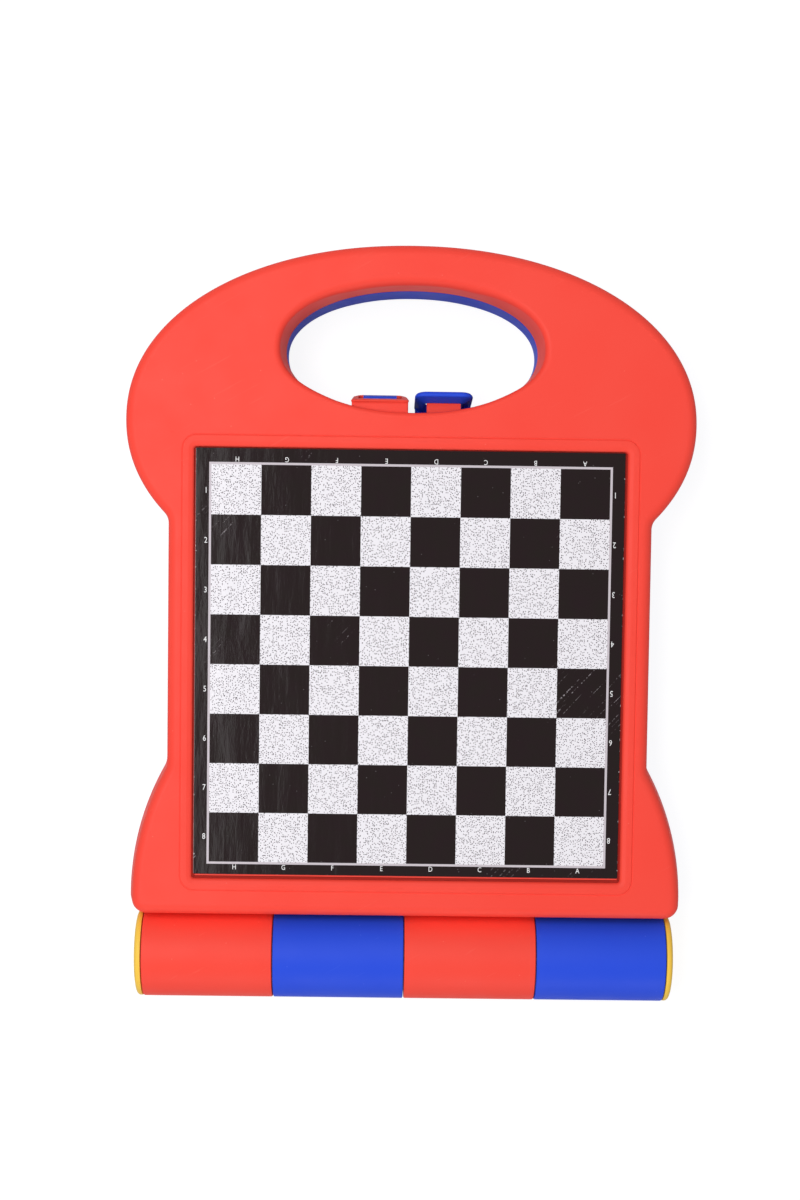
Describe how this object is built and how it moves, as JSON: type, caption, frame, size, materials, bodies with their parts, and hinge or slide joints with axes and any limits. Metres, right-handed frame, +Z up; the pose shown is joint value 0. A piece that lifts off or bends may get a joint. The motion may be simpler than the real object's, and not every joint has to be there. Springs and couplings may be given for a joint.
{
  "type": "folding chess computer case",
  "caption": "Folding carry-case board game: two plastic halves on a fat barrel hinge, hand opening, hoop latches, chessboard lid label and a key-and-display console inside.",
  "frame": {"origin": "middle of the bounding box seen from above, on the plane the shut case lies on", "axes": "+Z up through the chessboard lid, +Y from the barrel hinge towards the hand opening, +X to the right with the opening at the top"},
  "size_m": [0.255, 0.3386, 0.04],
  "materials": {
    "red_plastic": "satin moulded",
    "blue_plastic": "satin moulded",
    "yellow_plastic": "satin moulded",
    "tube_plastic": "extruded, plain",
    "printed_label": "laminated gloss print",
    "liner_plastic": "fine texture",
    "console_plastic": "fine texture",
    "clear_plastic": "clear gloss",
    "display_glass": "polished",
    "circuit_laminate": "solder mask",
    "chip_plastic": "moulded epoxy",
    "key_rubber": "silicone",
    "speaker_steel": "dark plated",
    "key_plastic": "satin moulded",
    "command_key_plastic": "satin moulded",
    "screw_steel": "zinc plated",
    "contact_metal": "nickel plated",
    "cell_wrap": "sleeved"
  },
  "bodies": {
    "base": {"blue_shell": "blue_plastic", "hinge_tube": "tube_plastic", "console_panel": "console_plastic", "display_window": "clear_plastic", "display_module": "display_glass", "circuit_board": "circuit_laminate", "processor_chip": "chip_plastic", "key_mat": "key_rubber", "loudspeaker": "speaker_steel", "battery_contact_left": "contact_metal", "battery_contact_right": "contact_metal", "battery_1": "cell_wrap", "battery_2": "cell_wrap", "battery_3": "cell_wrap", "board_screw_1": "screw_steel", "board_screw_2": "screw_steel", "board_screw_3": "screw_steel", "board_screw_4": "screw_steel", "console_screw_1": "screw_steel", "console_screw_2": "screw_steel", "console_screw_3": "screw_steel", "console_screw_4": "screw_steel", "blue_latch_pin": "screw_steel"},
    "lid": {"red_shell": "red_plastic", "board_label": "printed_label", "lid_liner": "liner_plastic", "liner_screw_1": "screw_steel", "liner_screw_2": "screw_steel", "liner_screw_3": "screw_steel", "liner_screw_4": "screw_steel", "red_latch_pin": "screw_steel"},
    "blue_latch": {"blue_latch": "blue_plastic"},
    "red_latch": {"red_latch": "red_plastic"},
    "end_cap_left": {"end_cap_left": "yellow_plastic"},
    "end_cap_right": {"end_cap_right": "yellow_plastic"},
    "battery_door": {"battery_door": "blue_plastic", "battery_door_screw": "screw_steel"},
    "key_a1": {"key_a1": "key_plastic"},
    "key_b2": {"key_b2": "key_plastic"},
    "key_c3": {"key_c3": "key_plastic"},
    "key_d4": {"key_d4": "key_plastic"},
    "key_e5": {"key_e5": "key_plastic"},
    "key_f6": {"key_f6": "key_plastic"},
    "key_g7": {"key_g7": "key_plastic"},
    "key_h8": {"key_h8": "key_plastic"},
    "key_clear": {"key_clear": "command_key_plastic"},
    "key_level": {"key_level": "command_key_plastic"},
    "key_new_game": {"key_new_game": "command_key_plastic"},
    "key_enter": {"key_enter": "command_key_plastic"}
  },
  "joints": [
    {"name": "lid_hinge", "type": "hinge", "parent": "base", "child": "lid", "pos_m": [0, -0.14955, 0.02], "axis": [1, 0, 0], "range_deg": [0, 180]},
    {"name": "red_latch_pivot", "type": "hinge", "parent": "lid", "child": "red_latch", "pos_m": [-0.0142, 0.08995, 0.0326], "axis": [1, 0, 0], "range_deg": [-7, 8]},
    {"name": "blue_latch_pivot", "type": "hinge", "parent": "base", "child": "blue_latch", "pos_m": [0.0142, 0.08995, 0.0074], "axis": [-1, 0, 0], "range_deg": [0, 15]},
    {"name": "end_cap_left_pull", "type": "slide", "parent": "base", "child": "end_cap_left", "axis": [-1, 0, 0], "range_m": [0, 0.04]},
    {"name": "end_cap_right_pull", "type": "slide", "parent": "base", "child": "end_cap_right", "axis": [1, 0, 0], "range_m": [0, 0.04]},
    {"name": "battery_door_lift", "type": "slide", "parent": "base", "child": "battery_door", "axis": [0, 0, -1], "range_m": [0, 0.02]},
    {"name": "key_a1_press", "type": "slide", "parent": "base", "child": "key_a1", "axis": [0, 0, -1], "range_m": [0, 0.0015], "stiffness_N_per_m": 150},
    {"name": "key_b2_press", "type": "slide", "parent": "base", "child": "key_b2", "axis": [0, 0, -1], "range_m": [0, 0.0015], "stiffness_N_per_m": 150},
    {"name": "key_c3_press", "type": "slide", "parent": "base", "child": "key_c3", "axis": [0, 0, -1], "range_m": [0, 0.0015], "stiffness_N_per_m": 150},
    {"name": "key_d4_press", "type": "slide", "parent": "base", "child": "key_d4", "axis": [0, 0, -1], "range_m": [0, 0.0015], "stiffness_N_per_m": 150},
    {"name": "key_e5_press", "type": "slide", "parent": "base", "child": "key_e5", "axis": [0, 0, -1], "range_m": [0, 0.0015], "stiffness_N_per_m": 150},
    {"name": "key_f6_press", "type": "slide", "parent": "base", "child": "key_f6", "axis": [0, 0, -1], "range_m": [0, 0.0015], "stiffness_N_per_m": 150},
    {"name": "key_g7_press", "type": "slide", "parent": "base", "child": "key_g7", "axis": [0, 0, -1], "range_m": [0, 0.0015], "stiffness_N_per_m": 150},
    {"name": "key_h8_press", "type": "slide", "parent": "base", "child": "key_h8", "axis": [0, 0, -1], "range_m": [0, 0.0015], "stiffness_N_per_m": 150},
    {"name": "key_clear_press", "type": "slide", "parent": "base", "child": "key_clear", "axis": [0, 0, -1], "range_m": [0, 0.0015], "stiffness_N_per_m": 150},
    {"name": "key_level_press", "type": "slide", "parent": "base", "child": "key_level", "axis": [0, 0, -1], "range_m": [0, 0.0015], "stiffness_N_per_m": 150},
    {"name": "key_new_game_press", "type": "slide", "parent": "base", "child": "key_new_game", "axis": [0, 0, -1], "range_m": [0, 0.0015], "stiffness_N_per_m": 150},
    {"name": "key_enter_press", "type": "slide", "parent": "base", "child": "key_enter", "axis": [0, 0, -1], "range_m": [0, 0.0015], "stiffness_N_per_m": 150}
  ]
}
